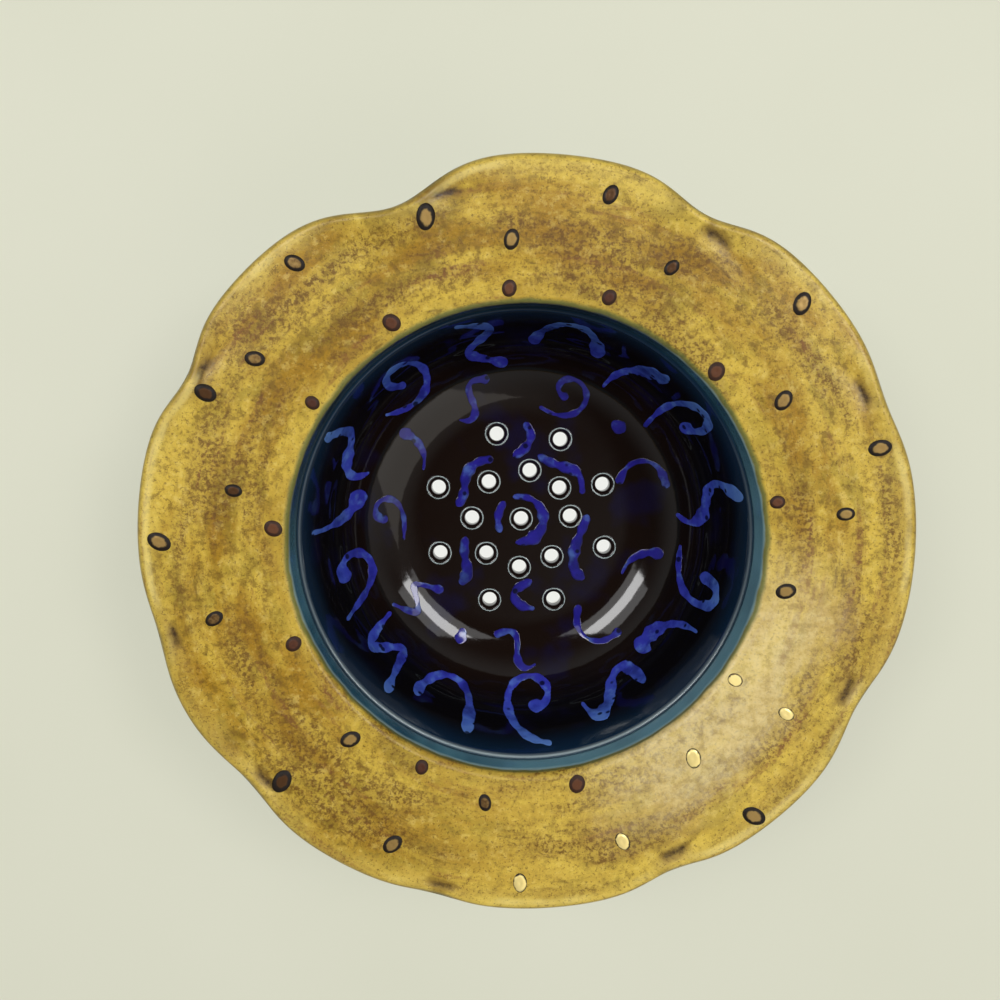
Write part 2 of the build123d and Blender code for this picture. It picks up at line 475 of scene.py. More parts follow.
# %% Places of the drops
# angle in degrees, and place across the rim from the mouth (0) to the edge (1)
outer_drops = [
    (16, 0.96), (42, 0.92), (77, 0.89), (107, 0.95), (129, 0.93), (154, 0.95),
    (179, 0.97), (193, 0.63), (224, 0.91), (246, 0.78), (269, 0.90), (310, 1.0),
]
middle_drops = [
    (6, 0.55), (30, 0.32), (63, 0.56), (93, 0.42), (145, 0.63), (169, 0.36),
    (228, 0.13), (261, 0.15), (288, 0.66), (308, 0.22), (327, 0.57), (350, 0.09),
]
inner_drops = [
    (10, 0), (43, 0), (72, 0.03), (94, 0), (121, 0.03), (146, 0.01),
    (176, 0), (203, 0.02), (245, 0), (282, 0), (327, 0),
]
print("drops:", len(outer_drops), len(middle_drops), len(inner_drops))

# %% One drop
drop_height, drop_sunk, crown_flat = 0.5, 0.3, 0.25
deselect()
bpy.ops.mesh.primitive_uv_sphere_add(segments=32, ring_count=20, radius=mm)
half_sphere = bpy.context.object
edit_all()
bpy.ops.mesh.bisect(plane_co=(0, 0, 0), plane_no=(0, 0, 1), clear_inner=True, use_fill=True)
leave_edit()
bpy.ops.object.shade_smooth()


def dome(name, long, wide, tone):
    """Copy of the half sphere, flattened to a low oval about the origin."""
    piece = half_sphere.copy()
    piece.data = half_sphere.data.copy()
    piece.name = name
    bpy.context.collection.objects.link(piece)
    points = points_of(piece)
    out = np.hypot(points[:, 0], points[:, 1])
    points *= (long / 2, wide / 2, drop_height + drop_sunk)
    points[:, 2] *= 1 - crown_flat * np.clip(1 - out, 0, 1) ** 2
    place_points(piece, points)
    mark(piece, "border", out)
    mark(piece, "tone", np.full(len(points), tone))
    return piece


print("half sphere cut, with", len(half_sphere.data.polygons), "faces")

# %% Rows of drops
drop_overhang, drop_clear, most_growth, most_turn = 0.8, 0.1, 0.12, 30


def rim_spot(reach, at):
    t = math.radians(at)
    return Vector((reach * math.cos(t), reach * math.sin(t), float(face_height(reach, at))))


def rim_slope(reach, at):
    """Upward normal of the rim's face, from four spots close together."""
    ahead = rim_spot(reach + 1, at) - rim_spot(reach - 1, at)
    aside = rim_spot(reach, at + 1) - rim_spot(reach, at - 1)
    return ahead.cross(aside).normalized()


def drop_row(name, places, size, slim):
    """One object with a dome at each place of a row, each of its own size, turn and tone."""
    made = []
    for number, (at, share) in enumerate(places):
        start = mouth_middle + size / 2 - drop_overhang
        end = float(edge_radius(at)) - half_edge - size / 2 - drop_clear
        reach = start + (end - start) * share
        grow = 1 + most_growth * math.sin(2.4 * number + size)
        piece = dome(f"{name}_{number}", size * grow, size * grow * slim, 0.37 * number % 1)
        up = rim_slope(reach, at)
        heading = math.radians(at + most_turn * math.sin(1.9 * number))
        aside = up.cross(Vector((math.cos(heading), math.sin(heading), 0))).normalized()
        turned = Matrix((aside.cross(up), aside, up)).transposed().to_4x4()
        seat = (rim_spot(reach, at) - up * drop_sunk) * mm
        piece.data.transform(Matrix.Translation(seat) @ turned)
        made.append(piece)
    row = joined(made, name)
    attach(row, "root")
    return row


outer_row = drop_row("lustre_drops_outer", outer_drops, 6.6, 0.72)
middle_row = drop_row("lustre_drops_middle", middle_drops, 5.8, 0.74)
inner_row = drop_row("lustre_drops_inner", inner_drops, 5.2, 0.86)
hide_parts("drops_outer")
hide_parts("drops_middle")
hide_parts("drops_inner")
bpy.data.objects.remove(half_sphere)
print("rows set:", outer_row.name, middle_row.name, inner_row.name)

# %% [markdown]
# ## Slip trails in the well
# The blue marks were squeezed from a slip trailer onto the dark glaze: hooks, curls and dabs whose
# width swells where the hand slowed. The potter looks down into the bowl while trailing, so a stroke
# is drawn flat, as it looks from above, and dropped onto the well. It starts as a grid with one row
# for each step along the stroke. The middle stands a few hundredths of a millimetre proud and the
# sides dip under the glaze, so the trail looks melted in. Solidify gives it a body below the surface.

# %% Strokes
# places along a stroke: across, outwards and width, in millimetres
strokes = {
    "crook": [
        (-8, -11, 1.6), (-9, 0, 2.4), (-6, 9, 2.8), (1, 12, 3.4), (7, 8, 2.4), (6, 1, 3.6), (0, 0, 5.4)],
    "wave": [(-13, 2, 1.4), (-10, 8, 2.8), (-3, 6, 4.8), (1, -4, 2.4), (7, -7, 3.4), (13, 1, 5.2)],
    "curl": [
        (11, -10, 1.6), (1, -12, 2.4), (-9, -7, 3.4), (-11, 4, 2.6), (-3, 11, 2.4), (6, 8, 3.8),
        (6, 0, 2.4), (-1, -1, 4.6)],
    "comma": [(-5, 10, 6.6), (-1, 8, 6.0), (3, 2, 3.6), (4, -6, 2.2), (1, -12, 1.3)],
    "crescent": [(-12, 7, 4.8), (-10, -3, 2.6), (-2, -8, 2.2), (7, -6, 2.6), (12, 4, 5.4)],
    "bolt": [
        (-10, 10, 1.8), (-1, 9, 3.0), (6, 7, 4.6), (-1, 0, 2.2), (-7, -5, 4.0), (3, -8, 2.4),
        (10, -10, 4.8)],
    "dab": [(-3, 1, 4.0), (0, 0, 5.6), (3, -1, 3.6)],
}
# strokes between the holes: x, y and width, in millimetres from the middle of the floor
floor_strokes = [
    [(-3, 8, 1.4), (3, 8.2, 2.4), (8, 4, 3.0), (8.4, -3, 4.2), (4, -8, 4.6), (-2, -8.6, 2.2)],
    [(-6, 6.4, 1.8), (-9, 1, 3.4), (-7.5, -5, 2.2)],
    [(6, 23, 1.6), (9.5, 20.5, 3.2), (16, 18.5, 4.2), (21.5, 17, 2.8), (22, 9, 1.8)],
    [(24, 1.5, 2.2), (21.5, -5, 3.8), (19, -11, 3.4), (18.5, -19, 4.6), (23, -22, 2.2)],
    [(4, -22.5, 1.6), (0, -24.5, 3.8), (-3.5, -27, 2.8), (-1, -32, 3.6), (5, -33, 2.0)],
    [(-20, -6.5, 2.0), (-21, -13, 3.8), (-18.5, -19.5, 3.4), (-22, -24, 4.4)],
    [(-23, 4.5, 2.2), (-20, 9, 3.8), (-20.5, 16, 3.2), (-16, 21, 4.2), (-10, 21.5, 2.0)],
    [(-3, 22.5, 2.0), (1.5, 25, 4.0), (4.5, 30.5, 3.0), (1, 34.5, 2.0)],
]
for number, places in enumerate(floor_strokes):
    strokes[f"floor_{number}"] = places
print(len(strokes), "strokes drawn")

# %% Down onto the well
eye_height, wall_top, samples = 321, 21, 400
heel_length = heel_round * (math.pi / 2 - wall_lean)


def wall_spot(up):
    """Radius, height and inward normal on the well, at lengths up the wall from the floor's edge."""
    bend = np.clip(up / heel_round, 0, math.pi / 2 - wall_lean)
    past = np.maximum(0, up - heel_length)
    reach = heel_start + np.minimum(0, up) + heel_round * np.sin(bend) + past * math.sin(wall_lean)
    height = floor_level + heel_round * (1 - np.cos(bend)) + past * math.cos(wall_lean)
    return reach, height, -np.sin(bend), np.cos(bend)


def wall_from_above(seen):
    """Length up the wall at distances from the middle, as they look to an eye above the bowl."""
    lengths = np.linspace(-heel_start, heel_length + wall_top, samples)
    reach, height, _, _ = wall_spot(lengths)
    return np.interp(seen, reach * eye_height / (eye_height - height), lengths)


print("60 mm out as seen is", round(float(wall_from_above(60.0)), 1), "mm up the wall")

# %% One trail
def smooth_line(places, count):
    """Even steps on a cubic B-spline that starts and ends at its first and last place."""
    knots = np.array([places[0]] * 2 + list(places) + [places[-1]] * 2, dtype=float)
    line = []
    for t in np.linspace(0, len(knots) - 3 - 1e-6, count):
        k, f = int(t), t - int(t)
        weights = ((1 - f) ** 3 / 6, (3 * f**3 - 6 * f**2 + 4) / 6,
                   (-3 * f**3 + 3 * f**2 + 3 * f + 1) / 6, f**3 / 6)
        line.append(sum(w * knots[k + i] for i, w in enumerate(weights)))
    return np.array(line)


def turned_by(degrees, across, along):
    """Two coordinates turned anticlockwise by an angle."""
    c, s = math.cos(math.radians(degrees)), math.sin(math.radians(degrees))
    return across * c - along * s, across * s + along * c


def trail(name, stroke, at, away, size, turned, mirror):
    """One stroke dropped onto the well, at an angle and a distance from the middle seen from above."""
    steps, sides, proud, dip, body = 64, 9, 0.03, 0.01, 0.12
    fullness, slow_swell, quick_swell, narrowest, least_clear = 1.15, 0.20, 0.12, 0.04, 1
    line = smooth_line(strokes[stroke], steps)
    line *= size
    line[:, 0] *= mirror
    line[:, 0], line[:, 1] = turned_by(turned, line[:, 0], line[:, 1])
    way = np.gradient(line[:, :2], axis=0)
    way /= np.maximum(1e-9, np.linalg.norm(way, axis=1))[:, None]
    gone = np.concatenate([[0], np.cumsum(np.linalg.norm(np.diff(line[:, :2], axis=0), axis=1))])
    swell = slow_swell * np.sin(0.6 * gone + at) + quick_swell * np.sin(1.4 * gone + 2 * at)
    width = fullness * line[:, 2] * (1 + swell)
    from_end = np.minimum(1, np.minimum(gone, gone[-1] - gone) / np.maximum(width / 2, 1e-6))
    width = np.maximum(narrowest, width * np.sqrt(np.clip(1 - (1 - from_end) ** 2, 0, 1)))
    deselect()
    bpy.ops.mesh.primitive_grid_add(x_subdivisions=sides - 1, y_subdivisions=steps - 1, size=mm)
    piece = bpy.context.object
    piece.name = name
    across = np.tile(np.linspace(-1, 1, sides), steps)
    row = np.repeat(np.arange(steps), sides)
    u = line[row, 0] - way[row, 1] * across * width[row] / 2
    v = line[row, 1] + way[row, 0] * across * width[row] / 2
    x, y = turned_by(at, away + v, u)
    reach, height, out, rise = wall_spot(wall_from_above(np.hypot(x, y)))
    about = np.arctan2(y, x)
    lift = proud * (1 - across**2) - dip * across**8
    reach = reach + out * lift
    place_points(piece, np.stack([
        reach * np.cos(about), reach * np.sin(about), height + rise * lift], axis=1))
    mark(piece, "border", np.abs(across))
    spots = points_of(piece)
    clear = min(np.hypot(spots[:, 0] - x, spots[:, 1] - y).min() for x, y in holes) - bead_reach
    if clear < least_clear:
        print(name, stroke, "is", round(float(clear), 1), "mm from the bead of a hole")
    edit_all()
    bpy.ops.mesh.normals_make_consistent(inside=False)
    leave_edit()
    # most faces have to look up or towards the middle
    faces = piece.data.polygons
    inward = sum(f.normal.dot((-f.center.x, -f.center.y, 0.02)) > 0 for f in faces)
    if inward * 2 < len(faces):
        edit_all()
        bpy.ops.mesh.flip_normals()
        leave_edit()
    bpy.ops.object.modifier_add(type="SOLIDIFY")
    piece.modifiers[0].thickness = body * mm
    piece.modifiers[0].offset = -1
    bpy.ops.object.modifier_apply(modifier=piece.modifiers[0].name)
    bpy.ops.object.shade_smooth()
    return piece


print("a trail can be laid")

# %% Trails
def trails(name, layout):
    """One object with all the strokes of a layout."""
    piece = joined([trail(f"{name}_{i}", *row) for i, row in enumerate(layout)], name)
    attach(piece, "root")
    return piece


# stroke, angle, distance from the middle, size, turn in degrees, 1 or -1 for a mirrored stroke
upper_layout = [
    ("wave", 8, 67, 0.95, 75, 1), ("crook", 33, 67, 0.95, -15, -1), ("comma", 53, 66, 1.0, 25, 1),
    ("crescent", 76, 69, 1.0, 185, 1), ("bolt", 103, 67, 0.95, 10, -1), ("curl", 130, 66, 0.9, 20, 1),
    ("wave", 156, 68, 0.95, -70, -1), ("comma", 176, 66, 0.95, 160, -1), ("crook", 198, 66, 0.95, 150, 1),
    ("bolt", 223, 67, 0.9, 95, 1), ("crescent", 247, 69, 0.95, 20, 1), ("curl", 273, 66, 0.9, 200, -1),
    ("wave", 299, 68, 0.95, 10, 1), ("comma", 322, 66, 1.0, 130, -1), ("crook", 344, 67, 0.9, 75, 1),
]
lower_layout = [
    ("crescent", 20, 47, 0.72, 120, 1), ("dab", 44, 48, 0.9, 10, 1), ("curl", 70, 47, 0.7, 0, 1),
    ("wave", 112, 47, 0.7, 150, 1), ("comma", 146, 46, 0.72, 40, -1), ("crook", 180, 48, 0.7, 90, 1),
    ("bolt", 217, 47, 0.68, -20, 1), ("dab", 243, 48, 0.9, 100, 1), ("wave", 268, 47, 0.7, 30, -1),
    ("crescent", 304, 47, 0.72, 250, 1), ("comma", 341, 46, 0.72, -60, 1),
]
floor_layout = [(f"floor_{number}", 0, 0, 1, -90, -1) for number in range(len(floor_strokes))]
upper_trails = trails("slip_trails_upper", upper_layout)
lower_trails = trails("slip_trails_lower", lower_layout)
floor_trails = trails("slip_trails_floor", floor_layout)
print("strokes on wall, heel and floor:", len(upper_layout), len(lower_layout), len(floor_layout))

# %% [markdown]
# ## Writing a finish
# A finish is a small program made of nodes. To keep it readable, a wire out of a node can be
# added, multiplied or subtracted like a number, and each such step adds its Math node. Colours are
# blended with Mix nodes. All patterns read Object coordinates, in metres, or marks on the mesh.

# %% Wires
class Wire:
    """One output of a node. Sums and products of wires add Math nodes to the same finish."""

    def __init__(self, finish, socket):
        self.finish = finish
        self.socket = socket

    def out(self, name):
        return Wire(self.finish, self.socket.node.outputs[name])

    def __add__(self, other):
        return self.finish.math("ADD", self, other)

    def __radd__(self, other):
        return self.finish.math("ADD", other, self)

    def __sub__(self, other):
        return self.finish.math("SUBTRACT", self, other)

    def __rsub__(self, other):
        return self.finish.math("SUBTRACT", other, self)

    def __mul__(self, other):
        return self.finish.math("MULTIPLY", self, other)

    def __rmul__(self, other):
        return self.finish.math("MULTIPLY", other, self)


print("wires can be added, subtracted and multiplied")

# %% Nodes
class Finish:
    """Nodes added one by one to a tree, which is a material's or the world's."""

    def __init__(self, tree):
        self.tree = tree

    def node(self, kind, settings=None, inputs=None, output=0):
        made = self.tree.nodes.new(kind)
        for name, value in (settings or {}).items():
            if name == "stops":
                first, *middle, last = value
                stops = made.color_ramp.elements
                stops[0].position, stops[0].color = first
                stops[1].position, stops[1].color = last
                for place, tint in middle:
                    stops.new(place).color = tint
            else:
                setattr(made, name, value)
        for name, value in (inputs or {}).items():
            self.feed(made.inputs[name], value)
        return Wire(self, made.outputs[output])

    def feed(self, socket, value):
        if isinstance(value, Wire):
            self.tree.links.new(value.socket, socket)
        else:
            socket.default_value = value

    def math(self, operation, first, second):
        return self.node("ShaderNodeMath", {"operation": operation}, {0: first, 1: second})

    def vector(self, operation, first, second=None, output=0):
        inputs = {0: first}
        if second is not None:
            inputs[3 if operation == "SCALE" else 1] = second
        return self.node("ShaderNodeVectorMath", {"operation": operation}, inputs, output)

    def mix(self, factor, first, second):
        return self.node("ShaderNodeMix", {"data_type": "RGBA"}, {0: factor, 6: first, 7: second}, 2)

    def step(self, value, low, high):
        """Smooth step from 0 at low to 1 at high."""
        return self.node(
            "ShaderNodeMapRange", {"interpolation_type": "SMOOTHSTEP"},
            {"Value": value, "From Min": low, "From Max": high})

    def noise(self, place, scale, detail=2.0, rough=0.5):
        return self.node(
            "ShaderNodeTexNoise", {},
            {"Vector": place, "Scale": scale, "Detail": detail, "Roughness": rough})

    def mark(self, name):
        return self.node("ShaderNodeAttribute", {"attribute_name": name}, {}, "Fac")


print("nodes can be added")

# %% Colours and materials
def tint(red, green, blue):
    """A colour as a screen shows it, 0 to 255, turned into the linear numbers a shader takes."""
    linear = []
    for value in (red, green, blue):
        v = value / 255
        linear.append(v / 12.92 if v <= 0.04045 else ((v + 0.055) / 1.055) ** 2.4)
    return (*linear, 1.0)


def finish(name, **constant):
    """A new material, its node writer and its surface shader, with the sockets that stay even set."""
    material = bpy.data.materials.new(name)
    material.use_nodes = True
    shader = material.node_tree.nodes["Principled BSDF"]
    for socket, value in constant.items():
        shader.inputs[socket.replace("_", " ")].default_value = value
    return material, Finish(material.node_tree), shader


def dress(piece, material):
    piece.data.materials.clear()
    piece.data.materials.append(material)


print("finishes can be written")

# %% [markdown]
# ## Amber glaze on the rim
# The rim has a runny amber glaze sponged over a brown one. It is honey coloured where it lies
# thick, yellow at the edge, and broken by brown stipple that follows the brush round the rim.
# Round the mouth it gives way to the teal of the collar. The mark called girth says how far along
# the section a vertex lies, so one finish can serve collar, face, edge and underside.

# %% Amber
amber, n, shader = finish("amber_over_brown", IOR=1.36)
place = n.node("ShaderNodeTexCoord", {}, {}, "Object")
flat = n.vector("MULTIPLY", place, (1.0, 1.0, 0.0))
reach = n.vector("LENGTH", flat, output="Value")
facing = n.vector("NORMALIZE", flat)
girth = n.mark("girth")


def brushed(stretch):
    """Place for a noise that is drawn out round the bowl."""
    deep = n.node("ShaderNodeCombineXYZ", {}, {"Z": reach * stretch})
    return n.vector("ADD", n.vector("SCALE", facing, 0.085), deep)


clouds = n.noise(brushed(3.0), 30.0, 6.0, 0.62)
colour = n.mix(n.step(clouds, 0.38, 0.62), tint(148, 112, 22), tint(190, 161, 60))
olive = n.step(n.noise(brushed(2.0), 52.0, 6.0, 0.7), 0.49, 0.64)
colour = n.mix(olive * 0.55, colour, tint(120, 104, 22))
mottle = n.noise(place, 330.0, 5.0, 0.72)
colour = n.mix(n.step(mottle, 0.52, 0.66) * 0.45, colour, tint(206, 182, 100))
colour = n.mix((1 - n.step(mottle, 0.36, 0.50)) * 0.7, colour, tint(104, 78, 18))
yellow = n.step(girth + (n.noise(place, 60.0, 3.0) - 0.5) * 14.0, 43.0, 50.0)
colour = n.mix(yellow * 0.5, colour, tint(206, 182, 86))
near_mouth = 1 - n.step(girth + (n.noise(place, 90.0, 3.0) - 0.5) * 8.0, 13.0, 20.0)
colour = n.mix(near_mouth * 0.45, colour, tint(184, 157, 62))
near_right = n.vector("DOT_PRODUCT", facing, (0.5, -0.87, 0.0), output="Value")
# painted sheen: the amber is made paler towards the near right of the bowl
colour = n.mix(n.step(near_right, 0.35, 0.95) * 0.30, colour, tint(212, 184, 84))
print("amber ground written")

# %% Stipple, streaks and creases
patches = n.step(n.noise(brushed(5.0), 22.0, 6.0, 0.62), 0.45, 0.60) * (1 - yellow * 0.7)
stipple = n.step(n.noise(place, 780.0, 4.0, 0.72), 0.45, 0.60)
worn = patches * (0.20 + stipple * 0.70)
colour = n.mix(worn, colour, tint(94, 62, 8))
streaks = n.step(n.noise(brushed(9.0), 26.0, 6.0, 0.6), 0.55, 0.66)
colour = n.mix(streaks * (0.25 + stipple * 0.4), colour, tint(116, 72, 36))
flecks = n.step(n.noise(place, 1300.0, 3.0, 0.7), 0.55, 0.66)
colour = n.mix(flecks * 0.65, colour, tint(84, 58, 8))
smudges = n.step(n.noise(brushed(3.0), 70.0, 7.0, 0.72), 0.58, 0.70)
colour = n.mix(smudges * 0.6, colour, tint(74, 48, 8))

# painted sheen: a pale cream patch on the inner half of the rim towards the near right
south_east = n.vector("DOT_PRODUCT", facing, (0.78, -0.62, 0.0), output="Value")
painted_sheen = n.step(south_east, 0.72, 0.99) * (1 - n.step(girth + (clouds - 0.5) * 40.0, 20.0, 44.0))
colour = n.mix(painted_sheen * (0.30 + n.step(mottle, 0.36, 0.62) * 0.30), colour, tint(216, 200, 152))
# darker brown blotches at the pinches, a brown halo round each crease and a near-black core in it
pinch = n.mark("pinch")
pinch_blotches = n.step(n.noise(place, 160.0, 4.0), 0.38, 0.62)
colour = n.mix(pinch * pinch_blotches * 0.5, colour, tint(104, 80, 26))
crease = n.mark("crease")
halo = n.step(crease + (n.noise(place, 170.0, 4.0, 0.6) - 0.5) * 0.9, 0.15, 0.75)
colour = n.mix(halo * 0.6, colour, tint(104, 76, 22))
pressed = n.step(crease + (n.noise(place, 520.0, 5.0, 0.7) - 0.5) * 0.9, 0.62, 1.12)
colour = n.mix(pressed, colour, tint(44, 24, 7))
print("layers over the amber written")

# %% Teal collar and underside
def sea_glaze(n, place):
    """Mottled teal with dark specks, for the underside of the rim and the outside of the well."""
    cloud = n.step(n.noise(place, 60.0, 5.0, 0.6), 0.35, 0.68)
    sea = n.mix(cloud, tint(30, 66, 86), tint(62, 118, 132))
    specks = n.step(n.noise(place, 420.0, 2.0), 0.60, 0.70)
    return n.mix(specks * 0.5, sea, tint(26, 40, 52))


ragged = girth + (n.noise(place, 130.0, 3.0) - 0.5) * 2.2
across = n.node("ShaderNodeSeparateXYZ", {}, {0: facing}, "Y")
ragged = ragged + (1 - n.step(across, -0.95, -0.1)) * 2.4
collar = 1 - n.step(ragged, 10.0, 11.0)
green_line = n.step(ragged, 9.8, 11.0) * (1 - n.step(ragged, 11.4, 12.8))
colour = n.mix(green_line * 0.8, colour, tint(88, 100, 56))
teal_shift = n.noise(brushed(1.0), 40.0, 3.0)
teal = n.mix(n.step(teal_shift, 0.35, 0.65), tint(44, 86, 104), tint(80, 130, 146))
teal = n.mix((1 - n.step(girth, 0.0, 3.0)) * 0.6, teal, tint(18, 44, 62))
# painted highlight: a pale line along the outer border of the collar
teal = n.mix(n.step(ragged, 8.4, 10.0) * 0.85, teal, tint(150, 178, 174))
# painted highlight: the collar is made paler towards the near right
teal = n.mix(n.step(south_east, 0.2, 0.9) * 0.5, teal, tint(124, 166, 178))
# painted shade: the collar is made nearly black towards the far left, the side turned from the lamps
shaded_side = 0.0 - near_right
teal = n.mix(n.step(shaded_side, 0.1, 0.85) * 0.85, teal, tint(18, 24, 26))
colour = n.mix(collar, colour, teal)
brink = girth + (n.noise(place, 200.0, 3.0) - 0.5) * 1.4
# painted highlight: a pale cream line here and there on the shoulder of the edge
painted_ridge_highlight = n.step(brink, 46.8, 48.2) * (1 - n.step(brink, 48.8, 49.8))
here_and_there = n.step(n.noise(place, 34.0, 3.0), 0.48, 0.62)
colour = n.mix(painted_ridge_highlight * here_and_there * 0.35, colour, tint(230, 212, 134))
colour = n.mix(n.step(brink, 49.7, 50.7) * 0.5, colour, tint(104, 92, 42))
under = n.step(brink, 51.2, 52.6)
colour = n.mix(under, colour, sea_glaze(n, place))
n.feed(shader.inputs["Base Color"], colour)
dull = 0.27 + n.noise(place, 90.0, 4.0) * 0.14 + worn * 0.14
n.feed(shader.inputs["Roughness"], dull - (dull - 0.10) * n.math("MAXIMUM", collar, under * 0.8))
skin = n.noise(place, 260.0, 3.0) * 0.6 + stipple * 0.25 + n.noise(brushed(4.0), 60.0, 2.0) * 0.8
bump = n.node("ShaderNodeBump", {}, {"Strength": 0.16, "Distance": 0.0006, "Height": skin})
n.feed(shader.inputs["Normal"], bump)
dress(rim, amber)
print("rim glazed")

# %% [markdown]
# ## Night-blue glaze in the well
# Inside, the glaze is almost black and as smooth as glass, so most of what is seen there is
# reflection. It turns brown on the floor, where it pooled over iron, and blue-green at the lip,
# where it thinned. Pale lines painted as highlights run round the edges of the holes, where the
# glaze also breaks thin, and along the near side of the lip. Outside it is teal, as under the rim.

# %% Night blue
def glassy(n, shader, place):
    """Slow ripples in a glaze that is as smooth as glass."""
    ripple = n.noise(place, 70.0, 2.0) * 0.8 + n.noise(place, 240.0, 2.0) * 0.2
    bump = n.node("ShaderNodeBump", {}, {"Strength": 0.10, "Distance": 0.0010, "Height": ripple})
    n.feed(shader.inputs["Normal"], bump)


night, n, shader = finish("night_blue", IOR=1.4)
place = n.node("ShaderNodeTexCoord", {}, {}, "Object")
height = n.node("ShaderNodeSeparateXYZ", {}, {0: place}, "Z")
drift = n.noise(place, 38.0, 4.0, 0.6)
deep = n.mix(n.step(height + (drift - 0.5) * 0.02, 0.016, 0.034), tint(22, 13, 9), tint(9, 9, 13))
stain = n.step(n.noise(place, 52.0, 3.0), 0.54, 0.72)
deep = n.mix(stain * 0.45, deep, tint(16, 14, 52))
deep = n.mix(n.step(height + (drift - 0.5) * 0.008, 0.044, 0.060), deep, tint(16, 40, 62))
# painted highlight: pale lines on the crests of the beads and on the lip
deep = n.mix(n.mark("glaze_break"), deep, tint(176, 190, 190))
wiped = 1 - n.step(height + drift * 0.004, 0.0095, 0.0115)
outside = n.mix(wiped, sea_glaze(n, place), tint(150, 122, 92))
within = n.mark("inside")
n.feed(shader.inputs["Base Color"], n.mix(within, outside, deep))
n.feed(shader.inputs["Roughness"], 0.14 - within * 0.09 + n.noise(place, 120.0, 2.0) * 0.03)
glassy(n, shader, place)
dress(well, night)
print("well glazed")

# %% [markdown]
# ## Cobalt slip
# The trails are cobalt blue, paler high on the wall and more violet towards the floor, where the
# dark glaze lies over them. Bubbles left dark pits, and the sides fade into the ground.

# %% Cobalt
def cobalt_finish(name, veil, soft):
    """Cobalt under a veil of dark glaze, whose sides begin to fade at a share of the half width."""
    material, n, shader = finish(name, IOR=1.4, Roughness=0.07)
    place = n.node("ShaderNodeTexCoord", {}, {}, "Object")
    height = n.node("ShaderNodeSeparateXYZ", {}, {0: place}, "Z")
    blue = n.node("ShaderNodeValToRGB", {"stops": [
        (0.0, tint(42, 34, 146)), (0.3, tint(54, 66, 172)), (0.7, tint(70, 102, 192)),
        (1.0, tint(92, 132, 198))]}, {"Fac": n.step(height, 0.010, 0.062)})
    cloud = n.noise(place, 210.0, 3.0)
    blue = n.mix(n.step(cloud, 0.50, 0.72) * 0.5, blue, tint(100, 140, 204))
    faint = n.step(n.noise(place, 85.0, 4.0, 0.6), 0.50, 0.66)
    blue = n.mix(faint * 0.6, blue, tint(22, 26, 86))
    blue = n.mix(n.step(cloud, 0.50, 0.30) * 0.5, blue, tint(26, 28, 116))
    pits = n.node("ShaderNodeTexVoronoi", {}, {"Vector": place, "Scale": 190.0}, "Distance")
    blue = n.mix((1 - n.step(pits, 0.13, 0.22)) * 0.9, blue, tint(8, 8, 26))
    border = n.mark("border") + (n.noise(place, 400.0, 2.0) - 0.5) * 0.15
    blue = n.mix(n.step(border, soft, 1.0) * 0.85, blue, tint(18, 14, 62))
    blue = n.mix(veil, blue, tint(12, 10, 24))
    n.feed(shader.inputs["Base Color"], blue)
    glassy(n, shader, place)
    return material


dress(upper_trails, cobalt_finish("cobalt_bright", 0.0, 0.84))
dress(lower_trails, cobalt_finish("cobalt_deep", 0.30, 0.60))
dress(floor_trails, cobalt_finish("cobalt_floor", 0.25, 0.45))
print("trails dressed")

# %% [markdown]
# ## Lustre drops and bare clay
# The drops have a bronze lustre that shines like metal in the middle and is burnt dark at the
# border. The row at the mouth is brown. On one side of each row a gold glint is painted on the
# lustre as a highlight. The foot was wiped clean, so it shows the buff clay with its iron specks.

# %% Lustre
def lustre_finish(name, heart, burnt, ring, shine, glint_side):
    """Lustre with a dark ring, and a painted gold glint on the side of the bowl given by the last
    argument.
    """
    material, n, shader = finish(name, IOR=1.3)
    place = n.node("ShaderNodeTexCoord", {}, {}, "Object")
    border = n.mark("border") + (n.noise(place, 700.0, 2.0) - 0.5) * 0.35
    flat = n.vector("MULTIPLY", place, (1.0, 1.0, 0.0))
    aside = n.vector("DOT_PRODUCT", n.vector("NORMALIZE", flat), glint_side, output="Value")
    # painted highlight: a pale gold glint on the drops on one side of the bowl
    painted_glint = n.step(aside, 0.88, 0.93)
    edge = n.step(border - painted_glint * 0.24, 0.46, 0.64)
    dark = n.step(n.mark("tone") + n.noise(place, 1100.0, 3.0) * 0.5, 0.55, 1.0)
    heart = n.mix(painted_glint, n.mix(dark, heart, burnt), tint(236, 214, 140))
    n.feed(shader.inputs["Base Color"], n.mix(edge, heart, ring))
    n.feed(shader.inputs["Metallic"], shine - edge * shine)
    n.feed(shader.inputs["Roughness"], 0.24 + n.noise(place, 700.0, 2.0) * 0.2 + edge * 0.2)
    return material


bronze = (tint(150, 122, 70), tint(76, 50, 27), tint(20, 11, 5), 0.4)
brown = (tint(88, 54, 34), tint(68, 38, 26), tint(46, 25, 14), 0.0)
dress(outer_row, lustre_finish("bronze_lustre_outer", *bronze, (-0.02, -0.95, 0.0)))
dress(middle_row, lustre_finish("bronze_lustre_middle", *bronze, (0.60, -0.80, 0.0)))
dress(inner_row, lustre_finish("brown_drop", *brown, (0.84, -0.54, 0.0)))
print("drops dressed")

